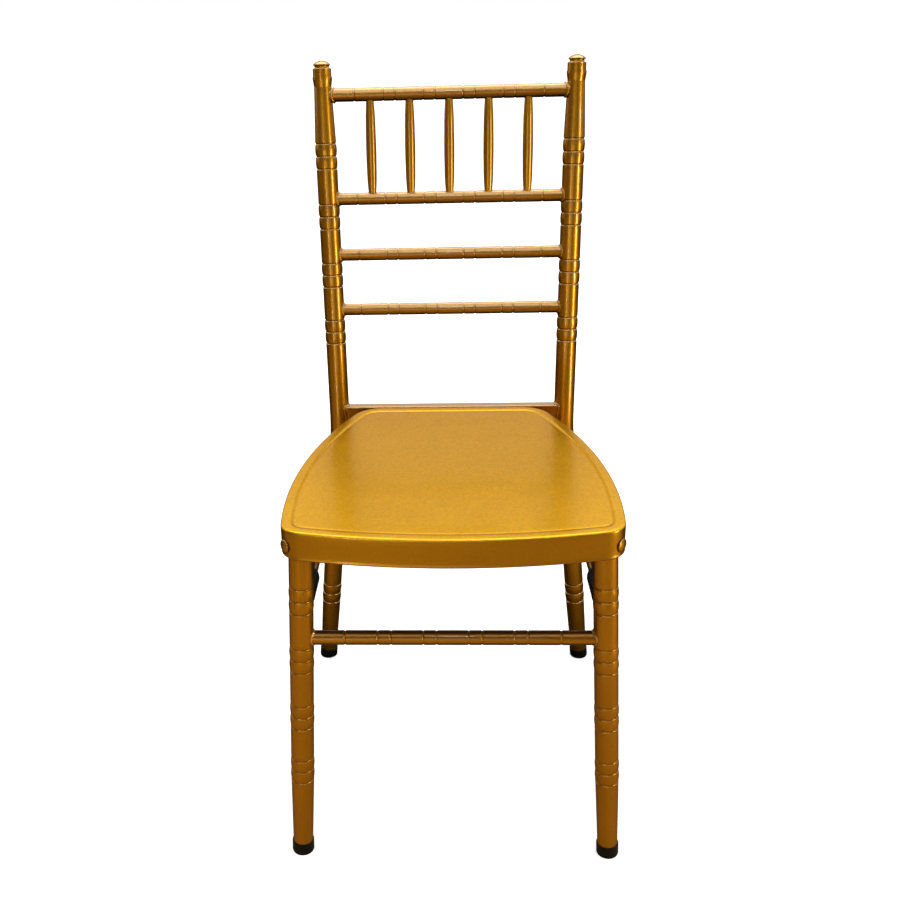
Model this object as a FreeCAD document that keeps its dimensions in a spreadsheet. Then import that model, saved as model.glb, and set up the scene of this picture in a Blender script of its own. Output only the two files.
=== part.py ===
import FreeCAD, Part
import math
import os

import Sketcher
from FreeCAD import Placement, Rotation, Vector

# A steel chiavari chair: bamboo-ringed tube legs and posts, four back rails,
# five spindles and a pressed sheet seat. +Z is up and the chair faces -Y.
# The origin is on the floor, at the middle of the chair's box.
# Left is the -X side. Lengths are in millimetres and angles in degrees.

DRIVING_SIZES = (
    # Overall stance: half spacings are from the middle plane to a tube axis.
    ("chair_height", 920.0),
    ("rear_foot_half", 205.0),
    ("rear_foot_y", 213.3),
    ("bend_half", 162.0),
    ("bend_y", 179.3),
    ("bend_below_seat", 32.0),
    ("post_top_half", 167.4),
    ("post_top_y", 232.3),
    ("bend_radius", 150.0),
    # Front legs: each stands inside a front corner of the skirt and splays to its foot.
    ("leg_skirt_gap", 2.7),
    ("leg_corner_angle", 61.2),
    ("leg_top_gap", 4.0),
    ("front_foot_splay", 23.97),
    ("front_foot_ahead", 13.13),
    # Ringed tube shared by the legs and the posts.
    ("tube_radius", 14.2),
    ("tube_wall", 1.5),
    ("groove_depth", 0.9),
    ("groove_width", 3.0),
    ("bead_rise", 0.5),
    ("ring_pitch", 16.4),
    ("ring_period", 79.7),
    ("leg_ring_below_seat", 67.0),
    ("post_ring_below_top", 105.33),
    ("leg_end_radius", 12.4),
    ("post_neck_radius", 11.6),
    ("post_neck_below_top", 33.0),
    ("post_lip_radius", 13.0),
    ("post_lip_height", 3.0),
    # Rubber foot caps.
    ("foot_wall", 1.25),
    ("foot_height", 16.0),
    ("foot_floor", 4.5),
    ("foot_round", 2.5),
    ("foot_bow", 0.8),
    ("foot_rim_drop", 1.0),
    ("foot_rim_inset", 0.6),
    ("foot_rim_bow", 0.15),
    ("foot_clearance", 0.15),
    # Post caps.
    ("cap_height", 20.5),
    ("cap_barrel_radius", 12.3),
    ("cap_barrel_height", 11.0),
    ("cap_neck_radius", 10.0),
    ("cap_neck_height", 3.0),
    ("cap_dome_radius", 11.4),
    ("cap_dome_edge", 1.6),
    ("cap_shoulder_drop", 1.0),
    ("cap_shoulder_bow", 0.35),
    ("cap_neck_bow", 0.4),
    ("cap_flange_rise", 0.5),
    ("cap_spigot_length", 12.0),
    ("cap_clearance", 0.25),
    # Back rails and stretchers.
    ("top_rail_below_top", 43.5),
    ("spindle_rail_below_top", 177.7),
    ("middle_rail_below_top", 252.8),
    ("lower_rail_below_top", 329.0),
    ("stretcher_level", 314.5),
    ("side_stretcher_level", 355.0),
    ("top_rail_radius", 8.8),
    ("back_rail_radius", 8.3),
    ("stretcher_radius", 8.6),
    ("rail_wall", 1.2),
    ("rail_groove_depth", 0.7),
    ("rail_groove_width", 2.6),
    ("rail_ring_spacing", 53.0),
    ("rail_ring_gap", 15.5),
    ("rail_end_ring", 125.5),
    # Spindles.
    ("spindle_spacing", 52.5),
    ("spindle_end_radius", 4.4),
    ("spindle_belly_radius", 6.6),
    ("spindle_belly_length", 46.0),
    ("spindle_belly_below_top", 114.0),
    ("spindle_neck_bow", 0.6),
    ("spindle_belly_bow", 0.3),
    # Seat pan: outline, skirt and pressed centre panel.
    ("seat_rear_level", 452.0),
    ("seat_tilt", 1.25),
    ("seat_depth", 414.0),
    ("seat_half_width", 196.8),
    ("seat_widest_from_rear", 303.0),
    ("seat_side_radius", 680.0),
    ("seat_front_radius", 800.0),
    ("seat_front_corner", 30.0),
    ("seat_rear_corner", 40.0),
    ("skirt_height", 35.0),
    ("pan_sheet", 1.2),
    ("pan_edge_round", 5.0),
    ("panel_inset", 12.0),
    ("panel_depth", 1.0),
    # Seat frame under the pan.
    ("rear_rail_ahead", 2.4),
    ("rear_rail_depth", 15.0),
    ("rear_rail_height", 30.0),
    ("rear_rail_rise", 1.0),
    ("frame_rail_width", 15.0),
    ("frame_rail_height", 20.0),
    ("frame_rail_wall", 1.2),
    ("frame_rail_corner", 2.0),
    ("side_rail_rear_half", 88.0),
    # Stacking bumpers on the side stretchers.
    ("bumper_length", 56.0),
    ("bumper_start", 20.0),
    ("bumper_wall", 4.0),
    ("bumper_clearance", 0.15),
    ("bumper_front_taper", 6.0),
    ("bumper_front_inset", 1.5),
    ("bumper_rear_taper", 12.0),
    ("bumper_rear_inset", 2.5),
    ("bumper_bow", 0.8),
    # Screws that hold the skirt to the front legs.
    ("screw_head_radius", 8.0),
    ("screw_head_height", 2.6),
    ("screw_head_inset", 0.6),
    ("screw_head_bow", 0.3),
    ("screw_head_gap", 0.05),
    ("screw_shank_radius", 2.5),
    ("screw_shank_length", 24.0),
    ("screw_clearance", 0.3),
    ("screw_below_seat", 22.0),
    ("screw_angle", 38.0),
)
RING_GROUPS = 4
GROOVES_PER_GROUP = 3
SPINDLE_COUNT = 5
SIDES = (("left", -1), ("right", 1))

doc = FreeCAD.newDocument("chiavari_chair")
sheet = doc.addObject("Spreadsheet::Sheet", "Sizes")
for row, (alias, number) in enumerate(DRIVING_SIZES, start=1):
    sheet.set(f"A{row}", alias)
    sheet.set(f"B{row}", str(number))
    sheet.setAlias(f"B{row}", alias)
doc.recompute()

nodes = {}


def size(alias):
    """Value of one driving size."""
    return float(getattr(sheet, alias))


def cell(alias):
    """Expression that names one driving size."""
    return f"Sizes.{alias}"


def keep(label, item):
    """Register the finished object of a sub-part under its node name."""
    item.Label = label
    nodes[label] = item
    return item


# Sketch helpers


def origin_plane(body, role):
    for feature in body.Origin.OriginFeatures:
        if feature.Role == role:
            return feature
    raise ValueError(role)


def new_sketch(body, name, role="XZ_Plane", offset=None):
    sketch = body.newObject("Sketcher::SketchObject", name)
    sketch.AttachmentSupport = [(origin_plane(body, role), "")]
    sketch.MapMode = "FlatFace"
    if offset is not None:
        sketch.AttachmentOffset = offset
    return sketch


def number_of(sketch, entry):
    """Number that an expression, or a plain number, stands for."""
    if isinstance(entry, str):
        found = sketch.evalExpression(entry)
        return float(getattr(found, "Value", found))
    return float(entry)


def pin(sketch, pins):
    """Hold coordinates of points, each at an expression or a number."""
    constraints = []
    bindings = []
    for kind, geometry, position, entry in pins:
        value = number_of(sketch, entry)
        if abs(value) < 1e-9:
            axis = -2 if kind == "DistanceX" else -1
            constraints.append(Sketcher.Constraint("PointOnObject", geometry, position, axis))
            continue
        if isinstance(entry, str):
            bindings.append((sketch.ConstraintCount + len(constraints), entry))
        constraints.append(Sketcher.Constraint(kind, geometry, position, value))
    sketch.addConstraint(constraints)
    for index, entry in bindings:
        sketch.setExpression(f"Constraints[{index}]", entry)


def closed_outline(sketch, corners, rises=None):
    """Closed loop through corners; rises[k] bows the side that starts at corner k outwards."""
    rises = rises or {}
    points = [Vector(number_of(sketch, x), number_of(sketch, y), 0) for x, y in corners]
    count = len(points)
    starts = []
    ends = []
    for index, point in enumerate(points):
        following = points[(index + 1) % count]
        if index in rises:
            along = following.sub(point)
            outward = Vector(along.y, -along.x, 0).normalize()
            middle = point.add(following).multiply(0.5)
            middle = middle.add(outward.multiply(number_of(sketch, rises[index])))
            geometry = sketch.addGeometry(Part.Arc(point, middle, following))
        else:
            geometry = sketch.addGeometry(Part.LineSegment(point, following))
        forward = sketch.getPoint(geometry, 1).distanceToPoint(point) < 1e-6
        starts.append((geometry, 1 if forward else 2))
        ends.append((geometry, 2 if forward else 1))
    joins = []
    for index in range(count):
        joins.append(Sketcher.Constraint("Coincident", *ends[index], *starts[(index + 1) % count]))
    for index in rises:
        geometry = starts[index][0]
        joins.append(Sketcher.Constraint("Radius", geometry, sketch.Geometry[geometry].Radius))
    sketch.addConstraint(joins)
    pins = []
    for (geometry, position), (x, y) in zip(starts, corners):
        pins.append(("DistanceX", geometry, position, x))
        pins.append(("DistanceY", geometry, position, y))
    pin(sketch, pins)


def revolve(body, sketch):
    """Full turn of a half section about its own vertical axis."""
    turned = body.newObject("PartDesign::Revolution", f"{sketch.Name}_turn")
    turned.Profile = sketch
    turned.ReferenceAxis = (sketch, ["V_Axis"])


def dome_rise(radius, height):
    """Bow of a dome whose arc is centred on the axis, as an expression."""
    ball = f"(({radius})^2 + ({height})^2) / (2 * ({height}))"
    return f"{ball} - sqrt(({ball})^2 - (({radius})^2 + ({height})^2) / 4)"


def turned_body(label, corners, rises=None):
    """Body turned about its own Z axis from one closed half section."""
    body = doc.addObject("PartDesign::Body", f"{label}_body")
    sketch = new_sketch(body, f"{label}_section")
    closed_outline(sketch, corners, rises)
    revolve(body, sketch)
    return body


def aligned(origin, along, towards=None):
    """Placement whose Z axis runs along a direction and whose X axis leans towards another."""
    axis = Vector(along).normalize()
    side = Vector(towards) if towards is not None else Vector(1, 0, 0)
    side = side.sub(axis * side.dot(axis)).normalize()
    return Placement(origin, Rotation(side, axis.cross(side), axis, "ZXY"))


def spot(point, sign, level):
    """Left or right point at a height, its half spacing and depth being driving sizes."""
    return Vector(sign * size(f"{point}_half"), size(f"{point}_y"), level)


def on_line(low, high, level):
    """Point of a straight axis at one height."""
    share = (level - low.z) / (high.z - low.z)
    return low + (high - low) * share


# Axes of the four legs and the two posts


def bend_level():
    return size("seat_rear_level") - size("bend_below_seat")


def rear_axis(sign):
    return spot("rear_foot", sign, 0.0), spot("bend", sign, bend_level())


def post_axis(sign):
    return spot("bend", sign, bend_level()), spot("post_top", sign, size("chair_height"))


def rear_rail_middle():
    """Middle of the rear rail, a little in front of the posts."""
    level = size("seat_rear_level") + size("rear_rail_rise") - size("rear_rail_height") / 2
    return Vector(0, on_line(*post_axis(1), level).y - size("rear_rail_ahead"), level)


def front_axis(sign):
    """Foot and top of a front leg; the top stops a gap under the seat sheet."""
    corner = seat_circles(0.0)[4]
    reach = size("seat_front_corner") - size("pan_sheet") - size("leg_skirt_gap") - size("tube_radius")
    angle = math.radians(size("leg_corner_angle"))
    plan = corner + Vector(math.cos(angle), -math.sin(angle), 0) * reach
    depth = size("pan_sheet") + size("panel_depth") + size("leg_top_gap")
    top = seat_placement().multVec(Vector(sign * plan.x, plan.y, -depth))
    splay = sign * size("front_foot_splay")
    return Vector(top.x + splay, top.y - size("front_foot_ahead"), 0), top


# Ringed tube


def first_leg_ring():
    """Height of the highest groove of a leg, as an expression."""
    return f"({cell('seat_rear_level')} - {cell('leg_ring_below_seat')})"


def ring_levels(first):
    """Groove centres from the lowest up, each with its place in its group."""
    levels = []
    for group in reversed(range(RING_GROUPS)):
        for groove in reversed(range(GROOVES_PER_GROUP)):
            level = f"{first} - {group} * {cell('ring_period')} - {groove} * {cell('ring_pitch')}"
            levels.append((groove, level))
    return levels


def ringed_wall(first):
    """Corners and bows of the outer wall through every ring group."""
    radius = cell("tube_radius")
    half = f"{cell('groove_width')} / 2"
    corners = []
    rises = {}
    for groove, level in ring_levels(first):
        rises[len(corners)] = f"-{cell('groove_depth')}"
        corners.append((radius, f"{level} - {half}"))
        if groove:
            rises[len(corners)] = cell("bead_rise")
        corners.append((radius, f"{level} + {half}"))
    return corners, rises


def shifted(rises, count):
    return {index + count: rise for index, rise in rises.items()}


def leg_section(top, solid):
    """Half section of a leg, measured up its axis from the floor."""
    rings, rises = ringed_wall(first_leg_ring())
    foot = cell("foot_floor")
    bore = f"{cell('tube_radius')} - {cell('tube_wall')}"
    end_bore = f"{cell('leg_end_radius')} - {cell('tube_wall')}"
    outer = [(cell("leg_end_radius"), foot)] + rings + [(cell("tube_radius"), top)]
    if solid:
        inner = [(0, top), (0, foot)]
    else:
        inner = [(bore, top), (bore, rings[0][1]), (end_bore, foot)]
    return outer + inner, shifted(rises, 1)


def post_section(bottom, length, solid):
    """Half section of a post above the bend, measured up its axis from the bend's corner."""
    first = f"({length:.6f} - {cell('post_ring_below_top')})"
    rings, rises = ringed_wall(first)
    top = f"{length:.6f} - {cell('cap_height')}"
    neck = f"{length:.6f} - {cell('post_neck_below_top')}"
    lip = f"{top} - {cell('post_lip_height')}"
    bore = f"{cell('tube_radius')} - {cell('tube_wall')}"
    neck_bore = f"{cell('post_neck_radius')} - {cell('tube_wall')}"
    outer = [(cell("tube_radius"), bottom)] + rings
    outer.append((cell("post_neck_radius"), neck))
    outer += [(cell("post_lip_radius"), lip), (cell("post_lip_radius"), top)]
    if solid:
        inner = [(0, top), (0, bottom)]
    else:
        inner = [(neck_bore, top), (neck_bore, neck), (bore, first), (bore, bottom)]
    return outer + inner, shifted(rises, 1)


def front_leg(side, sign, solid):
    foot, top = front_axis(sign)
    label = f"front_leg_{side}_{'bar' if solid else 'tube'}"
    corners, rises = leg_section((top - foot).Length, solid)
    body = turned_body(label, corners, rises)
    body.Placement = aligned(foot, top - foot)
    return body


def bend_angle():
    foot, bend = rear_axis(1)
    return math.degrees((bend - foot).getAngle(post_axis(1)[1] - bend))


def bend_tangent():
    """Distance from the bend's corner to where its arc starts."""
    return size("bend_radius") * math.tan(math.radians(bend_angle() / 2))


def add_elbow(body, label, level, solid):
    """Bend of the tube: it leaves the leg axis at a level and leans to +X."""
    offset = Placement(Vector(0, 0, level), Rotation())
    sketch = new_sketch(body, f"{label}_ring", "XY_Plane", offset)
    rings = [cell("tube_radius")]
    if not solid:
        rings.append(f"{cell('tube_radius')} - {cell('tube_wall')}")
    for radius in rings:
        circle = Part.Circle(Vector(0, 0, 0), Vector(0, 0, 1), number_of(sketch, radius))
        geometry = sketch.addGeometry(circle)
        sketch.addConstraint(Sketcher.Constraint("Coincident", geometry, 3, -1, 1))
        index = sketch.addConstraint(Sketcher.Constraint("Radius", geometry, number_of(sketch, radius)))
        sketch.setExpression(f"Constraints[{index}]", radius)
    reach = size("bend_radius")
    low = Vector(reach, -size("tube_radius"), 0)
    axis = sketch.addGeometry(Part.LineSegment(low, Vector(reach, -low.y, 0)), True)
    sketch.addConstraint(Sketcher.Constraint("Vertical", axis))
    index = sketch.addConstraint(Sketcher.Constraint("DistanceX", axis, 1, reach))
    sketch.setExpression(f"Constraints[{index}]", cell("bend_radius"))
    elbow = body.newObject("PartDesign::Revolution", f"{label}_elbow")
    elbow.Profile = sketch
    elbow.ReferenceAxis = (sketch, ["Axis0"])
    elbow.Angle = bend_angle()
    return elbow


def rear_post(side, sign, solid):
    """Rear leg, bend and back post as one bent tube."""
    foot, bend = rear_axis(sign)
    top = post_axis(sign)[1]
    label = f"rear_post_{side}_{'bar' if solid else 'tube'}"
    leg_length = (bend - foot).Length
    tangent = bend_tangent()
    corners, rises = leg_section(leg_length - tangent, solid)
    body = turned_body(label, corners, rises)
    add_elbow(body, label, leg_length - tangent, solid)
    turn = Rotation(Vector(0, 0, 1), -bend_angle())
    upper = new_sketch(body, f"{label}_upper", "XZ_Plane", Placement(Vector(0, leg_length, 0), turn))
    closed_outline(upper, *post_section(tangent, (top - bend).Length, solid))
    revolve(body, upper)
    body.Placement = aligned(foot, bend - foot, top - bend)
    return body


# Seat pan frame: its origin is the top of the rear edge, its X-Y plane the top of the seat


def seat_placement():
    rear_face = rear_rail_middle().y - size("rear_rail_depth") / 2
    lean = Rotation(Vector(1, 0, 0), -size("seat_tilt"))
    return Placement(Vector(0, rear_face, size("seat_rear_level")), lean)


def circle_meet(first, first_radius, second, second_radius, pick_low):
    """Meeting point of two circles in the plane."""
    span = second - first
    apart = span.Length
    along = (first_radius ** 2 - second_radius ** 2 + apart ** 2) / (2 * apart)
    height = math.sqrt(first_radius ** 2 - along ** 2)
    across = Vector(-span.y, span.x, 0).normalize()
    middle = first + span.normalize() * along
    options = sorted((middle + across * height, middle - across * height), key=lambda point: point.y)
    return options[0] if pick_low else options[1]


def seat_circles(inset):
    """Centres and radii of the right half of the seat outline, moved inwards by an inset."""
    front_radius = size("seat_front_radius") - inset
    side_radius = size("seat_side_radius") - inset
    front_corner = size("seat_front_corner") - inset
    rear_corner = size("seat_rear_corner") - inset
    front = Vector(0, size("seat_front_radius") - size("seat_depth"), 0)
    side = Vector(size("seat_half_width") - size("seat_side_radius"), -size("seat_widest_from_rear"), 0)
    corner = circle_meet(front, front_radius - front_corner, side, side_radius - front_corner, True)
    rear_level = -inset - rear_corner
    reach = math.sqrt((side_radius - rear_corner) ** 2 - (rear_level - side.y) ** 2)
    rear = Vector(side.x + reach, rear_level, 0)
    return front, front_radius, side, side_radius, corner, front_corner, rear, rear_corner


def arc_between(centre, radius, start, end):
    """Arc from start to end that bulges away from the seat's middle."""
    middle = (start - centre).normalize() + (end - centre).normalize()
    return Part.Arc(start, centre + middle.normalize() * radius, end)


def seat_outline(sketch, inset):
    """Seat plan: bowed front, bowed sides, four round corners and a straight rear edge."""
    front, front_r, side, side_r, corner, corner_r, rear, rear_r = seat_circles(inset)
    low = front + (corner - front).normalize() * front_r
    bow = side + (corner - side).normalize() * side_r
    shoulder = side + (rear - side).normalize() * side_r
    back = Vector(rear.x, -inset, 0)

    def mirror(point):
        return Vector(-point.x, point.y, 0)

    pieces = [
        Part.Arc(mirror(low), Vector(0, front.y - front_r, 0), low),
        arc_between(corner, corner_r, low, bow),
        arc_between(side, side_r, bow, shoulder),
        arc_between(rear, rear_r, shoulder, back),
        Part.LineSegment(back, mirror(back)),
        arc_between(mirror(rear), rear_r, mirror(back), mirror(shoulder)),
        arc_between(mirror(side), side_r, mirror(shoulder), mirror(bow)),
        arc_between(mirror(corner), corner_r, mirror(bow), mirror(low)),
    ]
    sketch.addGeometry(pieces)
    count = len(pieces)
    sketch.addConstraint([
        Sketcher.Constraint("Tangent", index, 2, (index + 1) % count, 1) for index in range(count)
    ])
    radii = ("seat_front_radius", "seat_front_corner", "seat_side_radius", "seat_rear_corner")
    for geometry, alias in enumerate(radii):
        index = sketch.addConstraint(Sketcher.Constraint("Radius", geometry, size(alias) - inset))
        sketch.setExpression(f"Constraints[{index}]", f"{cell(alias)} - {inset:.6f}")
    sketch.addConstraint([
        Sketcher.Constraint("Equal", 1, 7),
        Sketcher.Constraint("Equal", 2, 6),
        Sketcher.Constraint("Equal", 3, 5),
        Sketcher.Constraint("PointOnObject", 0, 3, -2),
        Sketcher.Constraint("Symmetric", 2, 3, 6, 3, -2),
        Sketcher.Constraint("Horizontal", 4),
    ])
    pin(sketch, [
        ("DistanceY", 0, 3, f"{cell('seat_front_radius')} - {cell('seat_depth')}"),
        ("DistanceX", 2, 3, f"{cell('seat_half_width')} - {cell('seat_side_radius')}"),
        ("DistanceY", 2, 3, f"-{cell('seat_widest_from_rear')}"),
        ("DistanceY", 4, 1, -inset),
    ])


def edges_at(feature, level):
    """Names of the edges that lie in one horizontal plane of a feature."""
    names = []
    for index, edge in enumerate(feature.Shape.Edges, start=1):
        box = edge.BoundBox
        if abs(box.ZMin - level) < 1e-6 and abs(box.ZMax - level) < 1e-6:
            names.append(f"Edge{index}")
    return names


def round_edges(body, name, base, edges, radius):
    rounding = body.newObject("PartDesign::Fillet", name)
    rounding.Base = (base, edges)
    rounding.setExpression("Radius", radius)
    doc.recompute()
    return rounding


def pocket(body, name, inset, level, depth, upwards):
    """Pocket with the seat outline, cut up or down from a level."""
    sketch = new_sketch(body, f"{name}_outline", "XY_Plane", Placement(Vector(0, 0, level), Rotation()))
    seat_outline(sketch, inset)
    cut = body.newObject("PartDesign::Pocket", name)
    cut.Profile = sketch
    cut.setExpression("Length", depth)
    cut.Reversed = upwards
    doc.recompute()
    return cut


def seat_pan_body():
    """Pressed seat sheet with a skirt all round and a sunk centre panel."""
    body = doc.addObject("PartDesign::Body", "seat_pan_body")
    plan = new_sketch(body, "seat_plan", "XY_Plane")
    seat_outline(plan, 0.0)
    blank = body.newObject("PartDesign::Pad", "seat_blank")
    blank.Profile = plan
    blank.Reversed = True
    blank.setExpression("Length", cell("skirt_height"))
    doc.recompute()
    edge = cell("pan_edge_round")
    rounded = round_edges(body, "seat_edge", blank, edges_at(blank, 0.0), edge)
    wall = size("pan_sheet")
    step = size("panel_depth")
    inner_depth = f"{cell('skirt_height')} - {cell('pan_sheet')} - {cell('panel_depth')}"
    hollow = pocket(body, "seat_hollow", wall, -size("skirt_height"), inner_depth, True)
    assert hollow.Shape.Volume < rounded.Shape.Volume
    ceiling = -wall - step
    inner_round = f"{edge} - {cell('pan_sheet')}"
    hollowed = round_edges(body, "seat_inner_edge", hollow, edges_at(hollow, ceiling), inner_round)
    panel = pocket(body, "seat_panel", size("panel_inset"), 0.0, cell("panel_depth"), False)
    assert panel.Shape.Volume < hollowed.Shape.Volume
    body.Placement = seat_placement()
    return body


# Round rails and stretchers


def rail_rings():
    """Groove centres along a rail, from its left end to its right end."""
    spacing = cell("rail_ring_spacing")
    gap = f"{cell('rail_ring_gap')} / 2"
    right = [f"0.5 * {spacing} - {gap}", f"0.5 * {spacing} + {gap}"]
    right += [f"1.5 * {spacing} - {gap}", f"1.5 * {spacing} + {gap}", cell("rail_end_ring")]
    return [f"-({ring})" for ring in reversed(right)] + right


def rail_section(radius, half_length, ringed, solid):
    """Half section of a rail along its own axis."""
    corners = [(radius, -half_length)]
    rises = {}
    for ring in rail_rings() if ringed else ():
        rises[len(corners)] = f"-{cell('rail_groove_depth')}"
        corners.append((radius, f"{ring} - {cell('rail_groove_width')} / 2"))
        corners.append((radius, f"{ring} + {cell('rail_groove_width')} / 2"))
    corners.append((radius, half_length))
    bore = 0 if solid else f"{radius} - {cell('rail_wall')}"
    corners += [(bore, half_length), (bore, -half_length)]
    return corners, rises


def rail_between(label, left, right, radius, ringed=True, solid=False):
    """Round rail from one axis point to another."""
    corners, rises = rail_section(cell(radius), (right - left).Length / 2, ringed, solid)
    body = turned_body(label, corners, rises)
    body.Placement = aligned((left + right) * 0.5, right - left, Vector(0, 0, 1))
    return body


def cross_rail(label, axis, level, radius, solid=False):
    """Round rail across the chair between the left and right members of one pair."""
    ends = [on_line(*axis(sign), level) for _, sign in SIDES]
    return rail_between(label, ends[0], ends[1], radius, solid=solid)


def below_top(drop):
    """Height of a back rail from its drop under the top of the posts."""
    return size("chair_height") - size(drop)


def compound(label, items):
    group = doc.addObject("Part::Compound", label)
    group.Links = items
    return group


def coped(label, item, tools):
    """Sub-part whose ends are shaped to fit the tubes that they meet."""
    cut = doc.addObject("Part::Cut", f"{label}_coped")
    cut.Base = item
    cut.Tool = tools
    return keep(label, cut)


# Rectangular frame rails


def rounded_box(width, height, inset):
    """Corners and bows of a rectangle with round corners, moved inwards by an inset."""
    across = f"({cell(width)} / 2 - {inset})"
    tall = f"({cell(height)} / 2 - {inset})"
    corner = f"({cell('frame_rail_corner')} - {inset})"
    near = f"({across} - {corner})"
    low = f"({tall} - {corner})"
    corners = [
        (f"-{near}", f"-{tall}"), (near, f"-{tall}"), (across, f"-{low}"), (across, low),
        (near, tall), (f"-{near}", tall), (f"-{across}", low), (f"-{across}", f"-{low}"),
    ]
    bow = f"{corner} * (1 - sqrt(0.5))"
    return corners, {1: bow, 3: bow, 5: bow, 7: bow}


def box_rail(label, width, height, length, solid=False):
    """Rectangular rail along its own Z axis and centred on it, a tube unless solid."""
    body = doc.addObject("PartDesign::Body", f"{label}_body")
    sketch = new_sketch(body, f"{label}_section", "XY_Plane")
    for inset in ("0",) if solid else ("0", cell("frame_rail_wall")):
        closed_outline(sketch, *rounded_box(width, height, inset))
    pad = body.newObject("PartDesign::Pad", f"{label}_pad")
    pad.Profile = sketch
    pad.Length = length
    return body


# Small parts


def foot_cap(side, sign, end, axis):
    """Rubber cap on a leg end, cut flat on the floor."""
    foot, top = axis(sign)
    label = f"foot_cap_{end}_{side}"
    lowest = f"({ring_levels(first_leg_ring())[0][1]} - {cell('groove_width')} / 2)"
    slope = f"({cell('tube_radius')} - {cell('leg_end_radius')}) / ({lowest} - {cell('foot_floor')})"
    mouth = f"{cell('leg_end_radius')} + {cell('foot_clearance')}"
    wall = f"({mouth} + {cell('foot_wall')})"
    corners = [
        (0, f"-{cell('foot_round')}"),
        (f"{wall} - {cell('foot_round')}", f"-{cell('foot_round')}"),
        (wall, cell("foot_round")),
        (wall, f"{cell('foot_height')} - {cell('foot_rim_drop')}"),
        (f"{wall} - {cell('foot_rim_inset')}", cell("foot_height")),
        (f"{mouth} + ({cell('foot_height')} - {cell('foot_floor')}) * {slope}", cell("foot_height")),
        (mouth, cell("foot_floor")),
        (0, cell("foot_floor")),
    ]
    body = turned_body(label, corners, {1: cell("foot_bow"), 3: cell("foot_rim_bow")})
    body.Placement = aligned(foot, top - foot)
    floor = doc.addObject("Part::Box", f"{label}_floor")
    for side_name in ("Length", "Width", "Height"):
        floor.setExpression(side_name, f"6 * {cell('tube_radius')}")
    reach = 3 * size("tube_radius")
    floor.Placement = Placement(Vector(foot.x - reach, foot.y - reach, -2 * reach), Rotation())
    return coped(label, body, floor)


def post_cap(side, sign):
    """Turned finial with a spigot inside the top of a post."""
    bend, top = post_axis(sign)
    label = f"post_cap_{side}"
    spigot = f"{cell('post_neck_radius')} - {cell('tube_wall')} - {cell('cap_clearance')}"
    barrel = cell("cap_barrel_radius")
    shoulder = cell("cap_barrel_height")
    neck_top = f"{shoulder} + {cell('cap_neck_height')}"
    flange = f"{neck_top} + {cell('cap_dome_edge')}"
    corners = [
        (0, f"-{cell('cap_spigot_length')}"),
        (spigot, f"-{cell('cap_spigot_length')}"),
        (spigot, 0),
        (barrel, 0),
        (barrel, f"{shoulder} - {cell('cap_shoulder_drop')}"),
        (cell("cap_neck_radius"), shoulder),
        (cell("cap_neck_radius"), neck_top),
        (cell("cap_dome_radius"), f"{neck_top} + {cell('cap_flange_rise')}"),
        (cell("cap_dome_radius"), flange),
        (0, cell("cap_height")),
    ]
    dome = dome_rise(cell("cap_dome_radius"), f"{cell('cap_height')} - ({flange})")
    rises = {4: cell("cap_shoulder_bow"), 5: f"-{cell('cap_neck_bow')}", 8: dome}
    body = turned_body(label, corners, rises)
    direction = (top - bend).normalize()
    body.Placement = aligned(top - direction * size("cap_height"), direction)
    return keep(label, body)


def spindle(index, rails):
    """Back spindle with a swollen belly, coped to the two rails that hold it."""
    across = (index - (SPINDLE_COUNT - 1) / 2) * size("spindle_spacing")
    low, high = (middle_point(drop) for drop in ("spindle_rail_below_top", "top_rail_below_top"))
    start = Vector(across, low.y, low.z)
    end = Vector(across, high.y, high.z)
    length = (end - start).Length
    belly = f"{cell('spindle_rail_below_top')} - {cell('spindle_belly_below_top')}"
    half = f"{cell('spindle_belly_length')} / 2"
    label = f"spindle_{index + 1}"
    radius = cell("spindle_end_radius")
    corners = [
        (0, 0),
        (radius, 0),
        (cell("spindle_belly_radius"), f"{belly} - {half}"),
        (cell("spindle_belly_radius"), f"{belly} + {half}"),
        (radius, length),
        (0, length),
    ]
    neck_bow = cell("spindle_neck_bow")
    body = turned_body(label, corners, {1: neck_bow, 2: cell("spindle_belly_bow"), 3: neck_bow})
    body.Placement = aligned(start, end - start)
    return coped(label, body, rails)


def middle_point(drop):
    """Point on the middle plane between the two posts, a drop under their top."""
    point = on_line(*post_axis(1), below_top(drop))
    return Vector(0, point.y, point.z)


def side_stretcher_ends(sign):
    level = size("side_stretcher_level")
    return on_line(*front_axis(sign), level), on_line(*rear_axis(sign), level)


def stacking_bumper(side, sign):
    """Rubber sleeve on a side stretcher, behind the front leg."""
    front, rear = side_stretcher_ends(sign)
    label = f"stacking_bumper_{side}"
    inner = f"{cell('stretcher_radius')} + {cell('bumper_clearance')}"
    outer = f"{inner} + {cell('bumper_wall')}"
    start = cell("bumper_start")
    end = f"{start} + {cell('bumper_length')}"
    corners = [
        (inner, start),
        (f"{outer} - {cell('bumper_front_inset')}", start),
        (outer, f"{start} + {cell('bumper_front_taper')}"),
        (outer, f"{end} - {cell('bumper_rear_taper')}"),
        (f"{outer} - {cell('bumper_rear_inset')}", end),
        (inner, end),
    ]
    body = turned_body(label, corners, {1: cell("bumper_bow"), 3: cell("bumper_bow")})
    body.Placement = aligned(front, rear - front)
    return keep(label, body)


def screw_axis(sign):
    """Point on the skirt and outward direction of a seat screw, in the seat's own frame."""
    corner = seat_circles(0.0)[4]
    angle = math.radians(size("screw_angle"))
    outward = Vector(sign * math.cos(angle), -math.sin(angle), 0)
    centre = Vector(sign * corner.x, corner.y, -size("screw_below_seat"))
    return centre + outward * size("seat_front_corner"), outward


def screw_frame(sign):
    point, outward = screw_axis(sign)
    return seat_placement().multiply(aligned(point, outward, Vector(0, 0, 1)))


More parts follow.
